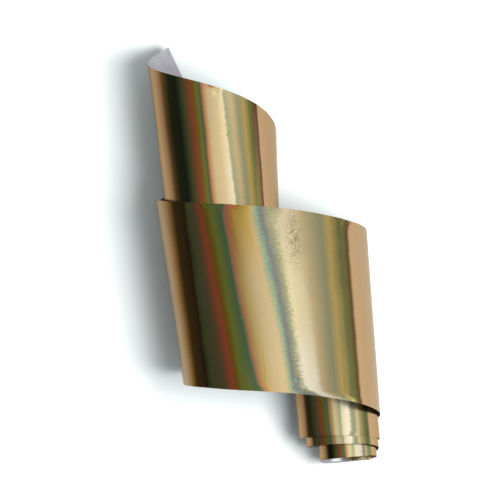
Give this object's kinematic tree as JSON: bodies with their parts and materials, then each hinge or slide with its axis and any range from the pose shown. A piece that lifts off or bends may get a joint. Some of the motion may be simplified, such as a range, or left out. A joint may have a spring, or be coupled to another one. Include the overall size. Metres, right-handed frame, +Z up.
{
  "type": "roll of sign vinyl",
  "caption": "Coreless, part-unwound roll of self-adhesive sign vinyl: one laminated strip wound as an outer coil, a wide arch and a tight telescoped inner coil.",
  "frame": {"origin": "centre of the roll's footprint, on the surface it lies on", "axes": "+Z up, +Y along the roll from the tight inner coil's mouth to the free outer end, +X from the outer coil to the inner coil"},
  "size_m": [0.358, 0.7099, 0.2658],
  "materials": {
    "gold_film": "mirror-like metallised gold vinyl with rainbow bands along the roll",
    "adhesive": "clear pressure-sensitive adhesive",
    "liner": "satin silicone-coated release paper, pale lilac grey"
  },
  "bodies": {
    "root": {"face_film": "gold_film", "adhesive_layer": "adhesive", "release_liner": "liner"}
  },
  "joints": []
}
